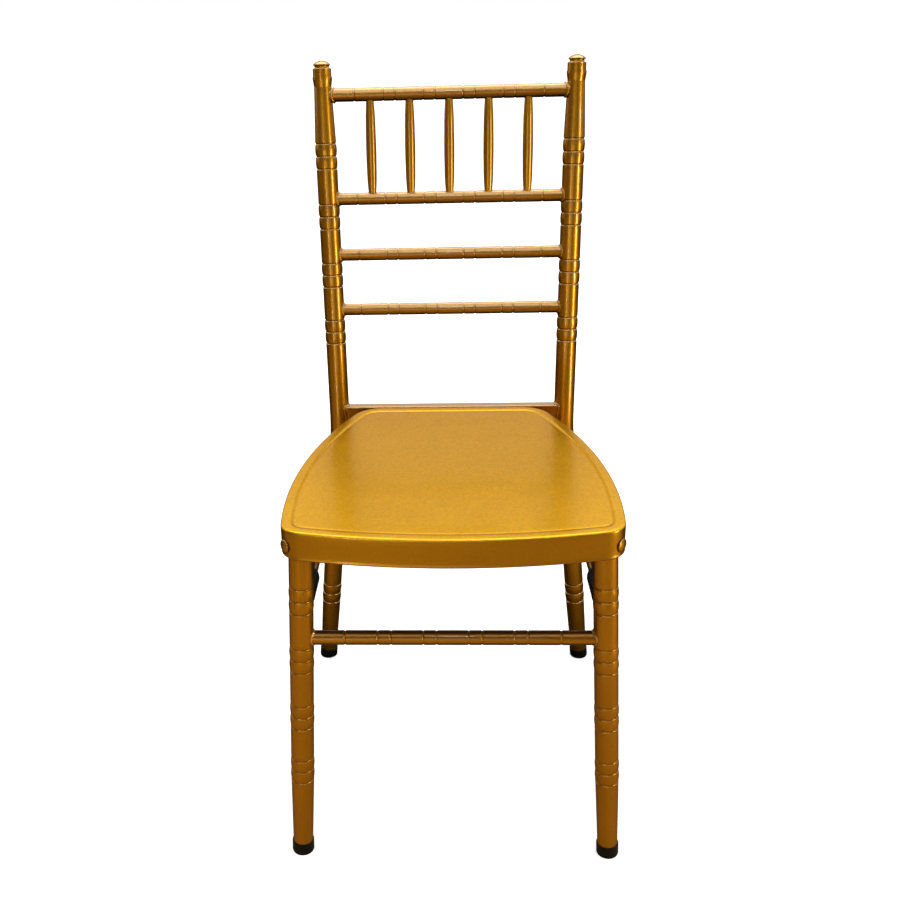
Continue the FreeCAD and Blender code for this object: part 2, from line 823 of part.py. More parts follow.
def screw_hole(side, sign):
    """Clearance hole for a seat screw; it starts in front of the skirt and ends behind the shank."""
    hole = doc.addObject("Part::Cylinder", f"screw_hole_{side}")
    hole.setExpression("Radius", f"{cell('screw_shank_radius')} + {cell('screw_clearance')}")
    hole.setExpression("Height", f"2 * {cell('screw_shank_length')}")
    behind = Placement(Vector(0, 0, -1.5 * size("screw_shank_length")), Rotation())
    hole.Placement = screw_frame(sign).multiply(behind)
    return hole


def seat_screw(side, sign):
    """Domed screw through the skirt into the front leg."""
    label = f"seat_screw_{side}"
    shank = cell("screw_shank_radius")
    seating = cell("screw_head_gap")
    dome_radius = f"{cell('screw_head_radius')} - {cell('screw_head_inset')}"
    half_height = f"{cell('screw_head_height')} / 2"
    corners = [
        (0, f"-{cell('screw_shank_length')}"),
        (shank, f"-{cell('screw_shank_length')}"),
        (shank, seating),
        (cell("screw_head_radius"), seating),
        (dome_radius, half_height),
        (0, cell("screw_head_height")),
    ]
    dome = dome_rise(dome_radius, half_height)
    body = turned_body(label, corners, {3: cell("screw_head_bow"), 4: dome})
    body.Placement = screw_frame(sign)
    return keep(label, body)


# Assembly


def build_legs(holes):
    """Front legs and bent rear posts; returns the solid bars that other pieces are coped to."""
    bars = {}
    for side, sign in SIDES:
        bars["front", side] = front_leg(side, sign, True)
        bars["rear", side] = rear_post(side, sign, True)
        coped(f"front_leg_{side}", front_leg(side, sign, False), holes[side])
        keep(f"rear_post_{side}", rear_post(side, sign, False))
        foot_cap(side, sign, "front", front_axis)
        foot_cap(side, sign, "rear", rear_axis)
        post_cap(side, sign)
    return bars


def build_back(posts):
    """Four cross rails and the spindles between the upper two."""
    drops = (
        ("top_rail", "top_rail_below_top", "top_rail_radius"),
        ("spindle_rail", "spindle_rail_below_top", "back_rail_radius"),
        ("middle_back_rail", "middle_rail_below_top", "back_rail_radius"),
        ("lower_back_rail", "lower_rail_below_top", "back_rail_radius"),
    )
    for label, drop, radius in drops:
        coped(label, cross_rail(f"{label}_tube", post_axis, below_top(drop), radius), posts)
    rails = compound("spindle_rails", [
        cross_rail(f"{label}_bar", post_axis, below_top(drop), radius, solid=True)
        for label, drop, radius in drops[:2]
    ])
    for index in range(SPINDLE_COUNT):
        spindle(index, rails)


def build_stretchers(bars):
    """Front and rear stretchers and a side stretcher with its bumper on each side."""
    for end, axis in (("front", front_axis), ("rear", rear_axis)):
        tube = cross_rail(f"{end}_stretcher_tube", axis, size("stretcher_level"), "stretcher_radius")
        pair = compound(f"{end}_legs", [bars[end, side] for side, _ in SIDES])
        coped(f"{end}_stretcher", tube, pair)
    for side, sign in SIDES:
        front, rear = side_stretcher_ends(sign)
        tube = rail_between(f"side_stretcher_{side}_tube", front, rear, "stretcher_radius", ringed=False)
        pair = compound(f"{side}_legs", [bars["front", side], bars["rear", side]])
        coped(f"side_stretcher_{side}", tube, pair)
        stacking_bumper(side, sign)


def build_seat_frame(fronts, posts, pan):
    """Rear rail between the posts and three rails under the seat sheet."""
    seat = seat_placement()
    upright = Vector(0, 0, 1)
    rear_middle = rear_rail_middle()
    rear_end = Vector(on_line(*post_axis(1), rear_middle.z).x, 0, 0)
    rear = box_rail("rear_seat_rail_tube", "rear_rail_height", "rear_rail_depth", 2 * rear_end.x)
    rear.Placement = aligned(rear_middle - rear_end, Vector(1, 0, 0), upright)
    coped("rear_seat_rail", rear, posts)
    drop = size("pan_sheet") + size("panel_depth") + size("frame_rail_height") / 2
    leg_top = seat.inverse().multVec(front_axis(1)[1])
    half = leg_top.x
    ahead = leg_top.y
    middle = seat.multVec(Vector(0, ahead, -drop))
    section = ("frame_rail_height", "frame_rail_width")
    front = box_rail("front_seat_rail_tube", *section, 2 * half)
    block = box_rail("front_seat_rail_bar", *section, 2 * half, solid=True)
    across = aligned(Vector(-half, 0, 0), Vector(1, 0, 0), upright)
    for rail in (front, block):
        rail.Placement = Placement(middle, seat.Rotation).multiply(across)
    coped("front_seat_rail", front, fronts)
    for side, sign in SIDES:
        label = f"side_seat_rail_{side}"
        start = Vector(sign * half, ahead, -drop)
        end = Vector(sign * size("side_rail_rear_half"), 0, -drop)
        reach = (end - start).Length + size("frame_rail_width")
        tube = box_rail(f"{label}_tube", *section, reach)
        tube.Placement = seat.multiply(aligned(start, end - start, upright))
        beyond = doc.addObject("Part::Box", f"{label}_beyond")
        for edge in ("Length", "Width", "Height"):
            beyond.setExpression(edge, f"10 * {cell('frame_rail_width')}")
        reach = 5 * size("frame_rail_width")
        corner = Vector(end.x - reach, -size("pan_sheet"), -reach)
        beyond.Placement = seat.multiply(Placement(corner, Rotation()))
        coped(label, tube, compound(f"{label}_ends", [fronts, beyond, block, pan]))


def write_parts():
    """Check every object, then write each sub-part to its own file."""
    doc.recompute()
    for item in doc.Objects:
        if "Invalid" in item.State or "Error" in item.State:
            raise RuntimeError(f"{item.Name} failed: {item.State}")
    os.makedirs("parts", exist_ok=True)
    for label, item in nodes.items():
        shape = item.Shape
        if shape.isNull() or not shape.isValid() or not shape.Solids:
            raise RuntimeError(f"{label} has no valid solid")
        shape.exportStep(f"parts/{label}.step")
        print(f"{label}: {len(shape.Solids)} solid, {shape.Volume / 1000:.1f} cm3")


holes = {side: screw_hole(side, sign) for side, sign in SIDES}
bars = build_legs(holes)
posts = compound("post_bars", [bars["rear", side] for side, _ in SIDES])
build_back(posts)
build_stretchers(bars)
fronts = compound("front_bars", [bars["front", side] for side, _ in SIDES])
pan = seat_pan_body()
build_seat_frame(fronts, posts, pan)
coped("seat_pan", pan, compound("screw_holes", list(holes.values())))
for side, sign in SIDES:
    seat_screw(side, sign)
write_parts()
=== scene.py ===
"""Looks of a gold-lacquered steel chiavari chair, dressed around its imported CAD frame.

The seat pan is made again as pressed sheet and the weld beads are added here. Every other piece
keeps its CAD mesh and gets a finish. Everything is in metres in the frame of the CAD model: +Z is
up, the chair faces -Y and its left side is -X. The origin is on the floor under the middle of the
chair.
"""
import logging
import math
from collections.abc import Iterable, Sequence
from dataclasses import dataclass
from enum import Enum

import bpy
from mathutils import Matrix, Vector, noise


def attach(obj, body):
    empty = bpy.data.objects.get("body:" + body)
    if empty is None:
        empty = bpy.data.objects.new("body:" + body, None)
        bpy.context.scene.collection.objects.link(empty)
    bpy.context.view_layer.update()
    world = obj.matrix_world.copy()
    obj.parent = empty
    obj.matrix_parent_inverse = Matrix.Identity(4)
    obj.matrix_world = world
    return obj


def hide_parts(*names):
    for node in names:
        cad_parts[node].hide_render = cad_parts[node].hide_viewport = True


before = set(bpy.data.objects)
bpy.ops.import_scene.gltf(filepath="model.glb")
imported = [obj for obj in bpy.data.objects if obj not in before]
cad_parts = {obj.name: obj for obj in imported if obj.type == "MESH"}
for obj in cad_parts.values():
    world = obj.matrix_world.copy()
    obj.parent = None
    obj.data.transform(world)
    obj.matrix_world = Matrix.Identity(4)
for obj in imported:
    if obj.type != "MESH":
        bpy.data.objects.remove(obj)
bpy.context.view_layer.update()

MM = 0.001
LOG = logging.getLogger("chiavari_chair")
WHITE = "#FFFFFF"

Socket = bpy.types.NodeSocket
Tree = bpy.types.NodeTree
Colour = tuple[float, float, float, float]
Spot = tuple[float, float, float]
Pair = tuple[float, float]

# Places of the Mix node's sockets, whose names are the same for every data type.
VALUE_LOW, VALUE_HIGH, VALUE_MIXED = 2, 3, 0
COLOUR_LOW, COLOUR_HIGH, COLOUR_MIXED = 6, 7, 2


# --------------------------------------------------------------------------- shader nodes


def linear(colour: str) -> Colour:
    """Turn an sRGB hex colour into a linear one, by the standard curve.

    Args:
        colour: six hex digits after a hash.

    Returns:
        Red, green, blue and an alpha of one.
    """
    shares = [int(colour[place:place + 2], 16) / 255 for place in (1, 3, 5)]
    red, green, blue = (
        share / 12.92 if share <= 0.04045 else ((share + 0.055) / 1.055) ** 2.4 for share in shares
    )
    return red, green, blue, 1.0


def per_metre(size_mm: float) -> float:
    """Texture scale that makes one period of a pattern this many millimetres long."""
    return 1.0 / (size_mm * MM)


def fresh_tree(owner: bpy.types.Material | bpy.types.World) -> Tree:
    """Empty node tree of a new material or world."""
    owner.use_nodes = True
    owner.node_tree.nodes.clear()
    return owner.node_tree


def add_node(
    tree: Tree, kind: str, inputs: dict[str | int, object] | None = None, **settings: object,
) -> bpy.types.Node:
    """Add one shader node.

    Args:
        tree: the node tree it goes into.
        kind: Blender's name of the node type.
        inputs: socket name or place to a socket to link from, or to a constant.
        settings: the node's own properties.

    Returns:
        The new node.
    """
    node = tree.nodes.new(kind)
    for key, value in settings.items():
        setattr(node, key, value)
    for key, value in (inputs or {}).items():
        if isinstance(value, Socket):
            tree.links.new(value, node.inputs[key])
        else:
            node.inputs[key].default_value = value
    return node


def ramp(
    tree: Tree, value: Socket, reach: Pair, result: Pair = (0.0, 1.0), smooth: bool = False,
) -> Socket:
    """Map a value from one range to another.

    Args:
        tree: the node tree it goes into.
        value: the value to map.
        reach: the values that become the two ends of the result.
        result: the two ends of the result.
        smooth: ease in and out instead of a straight ramp.

    Returns:
        The mapped value.
    """
    return add_node(tree, "ShaderNodeMapRange", {
        "Value": value, "From Min": reach[0], "From Max": reach[1],
        "To Min": result[0], "To Max": result[1]},
        interpolation_type="SMOOTHSTEP" if smooth else "LINEAR").outputs["Result"]


def combine(tree: Tree, operation: str, first: Socket, second: Socket) -> Socket:
    """Result of one math operation, such as MULTIPLY, on two values."""
    return add_node(
        tree, "ShaderNodeMath", {0: first, 1: second}, operation=operation).outputs["Value"]


def mix_value(tree: Tree, share: Socket, low: Socket | float, high: Socket | float) -> Socket:
    """Blend from one value to another as the share goes from 0 to 1."""
    return add_node(tree, "ShaderNodeMix", {
        "Factor": share, VALUE_LOW: low, VALUE_HIGH: high}).outputs[VALUE_MIXED]


def mix_colour(tree: Tree, share: Socket, low: Socket | Colour, high: Socket | Colour) -> Socket:
    """Blend from one colour to another as the share goes from 0 to 1."""
    return add_node(tree, "ShaderNodeMix", {
        "Factor": share, COLOUR_LOW: low, COLOUR_HIGH: high},
        data_type="RGBA").outputs[COLOUR_MIXED]


def blotches(
    tree: Tree, place: Socket, size_mm: float, detail: float = 2.0, roughness: float = 0.5,
) -> Socket:
    """Soft noise from 0 to 1, with blotches of one size.

    Args:
        tree: the node tree it goes into.
        place: where on the piece.
        size_mm: size of the largest blotches, in millimetres.
        detail: how many times finer noise is added.
        roughness: how strong the finer noise is.

    Returns:
        The noise.
    """
    return add_node(tree, "ShaderNodeTexNoise", {
        "Vector": place, "Scale": per_metre(size_mm), "Detail": detail,
        "Roughness": roughness}).outputs["Fac"]


def bump(tree: Tree, height: Socket, depth_mm: float, over: Socket | None = None) -> Socket:
    """Normal of a relief, laid over another one if that is given.

    Args:
        tree: the node tree it goes into.
        height: the relief, from 0 to 1.
        depth_mm: its depth in millimetres.
        over: normal of the relief that lies below.

    Returns:
        The normal.
    """
    inputs = {"Height": height, "Distance": depth_mm * MM, "Strength": 1.0}
    if over is not None:
        inputs["Normal"] = over
    return add_node(tree, "ShaderNodeBump", inputs).outputs["Normal"]


def eye_ray(tree: Tree, path: bpy.types.Node) -> Socket:
    """One for the rays that the eye sends, also through something clear, and zero for others."""
    return combine(
        tree, "MAXIMUM", path.outputs["Is Camera Ray"], path.outputs["Is Transmission Ray"])


# --------------------------------------------------------------------------- finishes


class Run(Enum):
    """How far the fine lines of the steel are stretched: along a drawn tube, or as brush marks
    across a sheet."""

    UPRIGHT = (1.0, 1.0, 0.03)
    ACROSS = (0.03, 1.0, 1.0)
    FORE_AND_AFT = (1.0, 0.03, 1.0)
    SHEET = (0.15, 1.0, 1.0)


@dataclass(frozen=True)
class GoldLacquer:
    """Gold metal-flake lacquer, a spray coat over drawn steel tube or pressed steel sheet, baked.

    The pigment is a fine metal flake under a clear binder. The coat is warm gold where it faces
    the light, goes dark brown at the edges of a tube, and carries a sharp, pale streak on top.
    Light and shade are also painted into its colour: the colour above is painted on what looks
    up, as painted light on most tubes and as painted shade on the legs and stretchers, and a
    brown painted shade is laid on what looks down.
    """

    name: str
    run: Run
    body: str = "#C68608"
    thin: str = "#B47805"
    edge: str = "#4E2E08"
    # above: colour painted on what looks up, painted light on most pieces and painted shade on the
    # legs and stretchers; below: painted shade on what looks down.
    above: str = "#BC9254"
    below: str = "#472806"
    metallic: float = 0.9
    smooth: float = 0.3
    dull: float = 0.38
    clear_coat: float = 0.6
    coat_roughness: float = 0.05
    cloud_mm: float = 70.0
    flake_mm: float = 0.9  # real flake is about 0.05 mm, drawn coarser so that it shows
    flake_depth: float = 0.09
    peel_mm: float = 3.0
    peel_depth_mm: float = 0.007
    draw_line_mm: float = 2.6
    draw_line_depth_mm: float = 0.02
    cloud_reach: Pair = (0.25, 0.75)
    wear_reach: Pair = (0.2, 0.8)
    wear_per_cloud: float = 3.0
    # Heights of the normal over which the painted top colour and the painted underside shade come
    # in.
    painted_top_reach: Pair = (0.05, 0.6)
    painted_shade_reach: Pair = (-0.05, -0.55)

    def material(self) -> bpy.types.Material:
        """Build the lacquer's node material."""
        made = bpy.data.materials.new(self.name)
        tree = fresh_tree(made)
        spots = add_node(tree, "ShaderNodeTexCoord")
        place = spots.outputs["Object"]
        shader = add_node(tree, "ShaderNodeBsdfPrincipled", {
            "Base Color": self.colour(tree, place, spots.outputs["Normal"]),
            "Metallic": self.metallic,
            "Roughness": self.roughness(tree, place),
            "Specular Tint": linear(self.edge),
            "Coat Weight": self.clear_coat,
            "Coat Roughness": self.coat_roughness,
            "Normal": self.relief(tree, place)})
        add_node(tree, "ShaderNodeOutputMaterial", {"Surface": shader.outputs["BSDF"]})
        return made

    def colour(self, tree: Tree, place: Socket, normal: Socket) -> Socket:
        """Cloudy gold with single flakes, with painted light and shade by how far it looks up or
        down.

        Args:
            tree: the node tree it goes into.
            place: where on the piece.
            normal: outward normal of the piece.

        Returns:
            The colour.
        """
        up = add_node(tree, "ShaderNodeSeparateXYZ", {"Vector": normal}).outputs["Z"]
        cloud = ramp(tree, blotches(tree, place, self.cloud_mm), self.cloud_reach)
        coat = mix_colour(tree, cloud, linear(self.thin), linear(self.body))
        # Painted light and shade: faces that look up take the colour above.
        painted_top_share = ramp(tree, up, self.painted_top_reach, smooth=True)
        painted_top = mix_colour(tree, painted_top_share, coat, linear(self.above))
        # Painted shade: faces that look down go brown.
        painted_shade_share = ramp(tree, up, self.painted_shade_reach, smooth=True)
        painted_shading = mix_colour(tree, painted_shade_share, painted_top, linear(self.below))
        flake = add_node(tree, "ShaderNodeTexVoronoi", {
            "Vector": place, "Scale": per_metre(self.flake_mm)}).outputs["Color"]
        glint = ramp(tree, flake, (0.0, 1.0), (1 - self.flake_depth, 1 + self.flake_depth))
        return add_node(tree, "ShaderNodeHueSaturation", {
            "Color": painted_shading, "Value": glint}).outputs["Color"]

    def roughness(self, tree: Tree, place: Socket) -> Socket:
        """Roughness that wanders between the smooth and the dull level."""
        wear = blotches(tree, place, self.cloud_mm / self.wear_per_cloud)
        return ramp(tree, wear, self.wear_reach, (self.smooth, self.dull))

    def relief(self, tree: Tree, place: Socket) -> Socket:
        """Normal of the fine lines in the steel, over the orange peel of the spray."""
        peel = bump(tree, blotches(tree, place, self.peel_mm, detail=1.0), self.peel_depth_mm)
        drawn = add_node(tree, "ShaderNodeMapping", {"Vector": place, "Scale": self.run.value})
        lines = blotches(tree, drawn.outputs["Vector"], self.draw_line_mm)
        return bump(tree, lines, self.draw_line_depth_mm, over=peel)


@dataclass(frozen=True)
class BlackRubber:
    """Moulded black rubber of caps and bumpers: matt, faintly grained, dusty grey in places."""

    name: str = "moulded black rubber"
    body: str = "#050404"
    dust: str = "#0F0E0D"
    sheen: float = 0.2
    smooth: float = 0.42
    dull: float = 0.68
    grain_mm: float = 1.2
    grain_depth_mm: float = 0.08
    cloud_mm: float = 9.0
    dust_reach: Pair = (0.5, 0.8)

    def material(self) -> bpy.types.Material:
        """Build the rubber's node material."""
        made = bpy.data.materials.new(self.name)
        tree = fresh_tree(made)
        place = add_node(tree, "ShaderNodeTexCoord").outputs["Object"]
        cloud = blotches(tree, place, self.cloud_mm, detail=5.0, roughness=0.7)
        dusty = ramp(tree, cloud, self.dust_reach)
        grain = blotches(tree, place, self.grain_mm)
        shader = add_node(tree, "ShaderNodeBsdfPrincipled", {
            "Base Color": mix_colour(tree, dusty, linear(self.body), linear(self.dust)),
            "Roughness": ramp(tree, cloud, (0.0, 1.0), (self.smooth, self.dull)),
            "Specular IOR Level": self.sheen,
            "Normal": bump(tree, grain, self.grain_depth_mm)})
        add_node(tree, "ShaderNodeOutputMaterial", {"Surface": shader.outputs["BSDF"]})
        return made


# The legs' colour above is darker than their body: painted shade on what looks up.
LEG_LACQUER = GoldLacquer(
    "gold lacquer on leg tube", Run.UPRIGHT, body="#C48407", thin="#B67A05", above="#A06A18",
    clear_coat=0.5)
UPRIGHT_LACQUER = GoldLacquer(
    "gold lacquer on upright tube", Run.UPRIGHT, flake_mm=1.5, flake_depth=0.16,
    draw_line_mm=2.0, draw_line_depth_mm=0.028)
# The cross tubes' body is a darker copy of the gold: painted shade, for their dark lower half.
CROSS_LACQUER_PAINTED_SHADE = GoldLacquer(
    "gold lacquer on cross tube", Run.ACROSS, body="#B2740A", thin="#A66B07", clear_coat=1.0,
    flake_mm=1.5, flake_depth=0.16, draw_line_mm=1.8, draw_line_depth_mm=0.03)
# The stretchers' darker body and darker colour above paint the seat's shadow on them.
STRETCHER_LACQUER_PAINTED_SHADE = GoldLacquer(
    "gold lacquer on stretcher tube", Run.ACROSS, body="#BE7E08", thin="#B27406",
    above="#8A5A14", draw_line_mm=1.8, draw_line_depth_mm=0.03)
SIDE_LACQUER = GoldLacquer("gold lacquer on side tube", Run.FORE_AND_AFT)
SCREW_LACQUER = GoldLacquer("gold lacquer on screw head", Run.SHEET)
WELD_LACQUER = GoldLacquer(
    "gold lacquer over weld", Run.SHEET, smooth=0.26, dull=0.4, peel_mm=1.6, peel_depth_mm=0.1,
    draw_line_depth_mm=0.0)
# Seat and skirt are lit and shaded copies of one lacquer: the seat's pale body is painted light on
# the sheet that looks up, the skirt's dark body painted shade on the sheet that faces the side.
SEAT_LACQUER_PAINTED_LIGHT = GoldLacquer(
    "gold lacquer on pressed sheet", Run.SHEET, body="#E4AE24", thin="#DEA61E", above="#E0AA24",
    smooth=0.32, clear_coat=0.2, coat_roughness=0.16, cloud_mm=150.0, flake_mm=2.2,
    flake_depth=0.12, peel_mm=3.4, peel_depth_mm=0.03, draw_line_mm=5.0, draw_line_depth_mm=0.04)
SKIRT_LACQUER_PAINTED_SHADE = GoldLacquer(
    "gold lacquer on pressed skirt", Run.SHEET, body="#BE8409", thin="#B67C06", clear_coat=0.4,
    coat_roughness=0.12, cloud_mm=110.0, peel_mm=3.4, peel_depth_mm=0.02, draw_line_mm=5.0,
    draw_line_depth_mm=0.03)
RUBBER = BlackRubber()


# --------------------------------------------------------------------------- meshes


class MeshBuilder:
    """Collects rings of vertices and the faces between them, and makes one object of them."""

    def __init__(self, name: str) -> None:
        """Start an empty mesh with the piece's name."""
        self.name = name
        self.points: list[Vector] = []
        self.faces: list[tuple[int, ...]] = []

    def ring(self, points: Iterable[Vector]) -> list[int]:
        """Add points in order and return their places."""
        first = len(self.points)
        self.points.extend(points)
        return list(range(first, len(self.points)))

    def bridge(self, first: Sequence[int], second: Sequence[int]) -> None:
        """Join two closed rings of the same length with four-sided faces."""
        count = len(first)
        for place in range(count):
            ahead = (place + 1) % count
            self.faces.append((first[place], first[ahead], second[ahead], second[place]))

    def fan(self, ring: Sequence[int], middle: Vector) -> None:
        """Close a ring with triangles to one point."""
        tip = self.ring([middle])[0]
        count = len(ring)
        for place in range(count):
            self.faces.append((ring[place], ring[(place + 1) % count], tip))

    def build(self, material: bpy.types.Material, slot: str) -> bpy.types.Object:
        """Make the smooth-shaded object.

        Args:
            material: the finish it wears.
            slot: the material slot that the finish stands for; it is not used.

        Returns:
            The object, riding on the chair's body.
        """
        mesh = bpy.data.meshes.new(self.name)
        mesh.from_pydata([tuple(point) for point in self.points], [], self.faces)
        mesh.validate()
        mesh.update()
        mesh.shade_smooth()
        mesh.materials.append(material)
        piece = bpy.data.objects.new(self.name, mesh)
        bpy.context.scene.collection.objects.link(piece)
        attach(piece, "root")
        return piece


@dataclass(frozen=True)
class RoundTube:
    """Straight round tube: its axis from the low to the high end, and its radius."""

    low: Vector
    high: Vector
    radius: float

    def along(self) -> Vector:
        """Unit direction of the axis."""
        return (self.high - self.low).normalized()

    def at(self, level: float) -> Vector:
        """Point of the axis at one height."""
        share = (level - self.low.z) / (self.high.z - self.low.z)
        return self.low.lerp(self.high, share)

    def outward(self, spot: Vector) -> Vector:
        """Unit direction from the axis to a point, square to the axis."""
        axis = self.along()
        out = spot - self.low
        return (out - axis * out.dot(axis)).normalized()

    def meet(self, point: Vector, along: Vector) -> Vector:
        """Find where a line from a point first meets the tube.

        Args:
            point: a point outside the tube.
            along: direction of the line.

        Returns:
            The point on the tube's surface.
        """
        axis = self.along()
        apart = point - self.low
        apart -= axis * apart.dot(axis)
        flat = along - axis * along.dot(axis)
        a = flat.length_squared
        b = apart.dot(flat)
        c = apart.length_squared - self.radius ** 2
        return point + along * ((-b - math.sqrt(max(b * b - a * c, 0.0))) / a)

    def sunk(self, point: Vector, depth: float) -> Vector:
        """Move a point square to the axis until it lies this deep under the surface."""
        axis = self.along()
        landed = point - self.low
        height = axis * landed.dot(axis)
        return self.low + height + (landed - height).normalized() * (self.radius - depth)


@dataclass(frozen=True)
class ChairSide:
    """Legs and post of one side, as the CAD model has them."""

    sign: int
    front_foot: Spot = (0.1934, -0.2187, 0.0)
    front_top: Spot = (0.16943, -0.20557, 0.45402)
    rear_foot: Spot = (0.205, 0.2133, 0.0)
    bend: Spot = (0.162, 0.1793, 0.420)
    post_top: Spot = (0.1674, 0.2323, 0.920)
    tube_radius: float = 14.2 * MM

    def tube(self, low: Spot, high: Spot) -> RoundTube:
        """Tube of this side between two points that are given for the right side."""
        ends = [Vector((self.sign * x, y, z)) for x, y, z in (low, high)]
        return RoundTube(*ends, self.tube_radius)

    def outward(self) -> Vector:
        """Unit direction from the middle of the chair to this side."""
        return Vector((self.sign, 0, 0))

    def front_leg(self) -> RoundTube:
        """The front leg."""
        return self.tube(self.front_foot, self.front_top)

    def rear_leg(self) -> RoundTube:
        """The rear leg, up to the bend."""
        return self.tube(self.rear_foot, self.bend)

    def post(self) -> RoundTube:
        """The back post above the bend."""
        return self.tube(self.bend, self.post_top)


SIDES = {"left": ChairSide(-1), "right": ChairSide(1)}


# --------------------------------------------------------------------------- welds


CORNER_STEPS = 8
FLAT_STEP = 1.2 * MM


@dataclass(frozen=True)
class BarSection:
    """Outline of a bar across its axis: offsets from the axis and outward normals."""

    offsets: tuple[Vector, ...]
    normals: tuple[Vector, ...]

    @classmethod
    def of_round(cls, along: Vector, radius: float, count: int = 96) -> "BarSection":
        """Outline of a round bar or tube.

        Args:
            along: unit direction of the bar.
            radius: radius of the bar.
            count: number of points.

        Returns:
            The outline, in order round the bar.
        """
        side = along.orthogonal().normalized()
        across = along.cross(side)
        turns = [2 * math.pi * step / count for step in range(count)]
        normals = tuple(side * math.cos(turn) + across * math.sin(turn) for turn in turns)
        return cls(tuple(normal * radius for normal in normals), normals)

    @classmethod
    def of_box(
        cls, side: Vector, up: Vector, width: float, height: float, corner: float,
    ) -> "BarSection":
        """Outline of a rectangular tube with round corners.

        Args:
            side: unit direction of the width.
            up: unit direction of the height.
            width: size along side.
            height: size along up.
            corner: radius of the corners.

        Returns:
            The outline, in order round the bar.
        """
        offsets = []
        normals = []
        centres = [
            side * right * (width / 2 - corner) + up * top * (height / 2 - corner)
            for right, top in ((1, 1), (-1, 1), (-1, -1), (1, -1))
        ]
        for quarter, centre in enumerate(centres):
            for step in range(CORNER_STEPS + 1):
                angle = math.pi / 2 * (quarter + step / CORNER_STEPS)
                normal = side * math.cos(angle) + up * math.sin(angle)
                offsets.append(centre + normal * corner)
                normals.append(normal)
            start = offsets[-1]
            flat = centres[(quarter + 1) % len(centres)] + normals[-1] * corner - start
            pieces = max(2, round(flat.length / FLAT_STEP))
            for step in range(1, pieces):
                offsets.append(start + flat * (step / pieces))
                normals.append(normals[-1])
        return cls(tuple(offsets), tuple(normals))


@dataclass
class WeldBead:
    """Fillet weld that runs round the end of a bar where it meets a round tube.

    The bead is laid by hand, so its leg swells and shrinks with each dab of the torch and wanders
    along the seam. A lid, given as a point and an upward normal, is a sheet that lies over the
    joint and keeps the bead below it.
    """

    name: str
    leg: float = 2.0 * MM
    dab: float = 2.1 * MM
    dab_swell: float = 0.18
    wander: float = 0.4
    wander_length: float = 6.0 * MM
    crown: float = 0.46
    sink: float = 0.12 * MM
    root_depth: float = 0.8 * MM
    rows: int = 7
    lid: tuple[Vector, Vector] | None = None

    def build(
        self, start: Vector, along: Vector, section: BarSection, tube: RoundTube,
        lacquer: bpy.types.Material,
    ) -> bpy.types.Object:
        """Lay the bead.

        Args:
            start: a point of the bar's axis outside the tube.
            along: unit direction of the bar towards the tube.
            section: outline of the bar.
            tube: the tube that the bar meets.
            lacquer: lacquer over the weld.

        Returns:
            The bead as one closed mesh.
        """
        seam = [tube.meet(start + offset, along) for offset in section.offsets]
        builder = MeshBuilder(self.name)
        rings = []
        walked = 0.0
        for place, (spot, normal) in enumerate(zip(seam, section.normals)):
            walked += (spot - seam[place - 1]).length if place else 0.0
            rings.append(builder.ring(self.profile(spot, normal, along, tube, walked)))
        for place, ring in enumerate(rings):
            builder.bridge(ring, rings[(place + 1) % len(rings)])
        return builder.build(lacquer, "frame_lacquer")

    def profile(
        self, spot: Vector, normal: Vector, along: Vector, tube: RoundTube, walked: float,
    ) -> list[Vector]:
        """Closed section of the bead at one point of the seam.

        Args:
            spot: the point of the seam.
            normal: outward normal of the bar there.
            along: unit direction of the bar towards the tube.
            tube: the tube that the bar meets.
            walked: length of the seam up to the point.

        Returns:
            The section's points, from the bar over the crown to the tube and back at the root.
        """
        out = tube.outward(spot)
        leg = self.leg * (1 + self.wander * noise.noise(spot / self.wander_length))
        swell = 1 + self.dab_swell * math.sin(2 * math.pi * walked / self.dab)
        away = (normal - out * normal.dot(out)).normalized()
        on_bar = spot - along * leg * swell - normal * self.sink
        on_tube = tube.sunk(spot + away * leg * swell, self.sink)
        crown = spot + (normal + out) * leg * self.crown * swell
        points = []
        for row in range(self.rows):
            share = row / (self.rows - 1)
            points.append(
                on_bar * (1 - share) ** 2 + crown * 2 * share * (1 - share) + on_tube * share ** 2)
        points.append(spot - (normal + out) * self.root_depth)
        return [self.under(point) for point in points]

    def under(self, point: Vector) -> Vector:
        """Bring a point down to the lid if it stands above it."""
        if self.lid is None:
            return point
        place, up = self.lid
        return point - up * max((point - place).dot(up), 0.0)


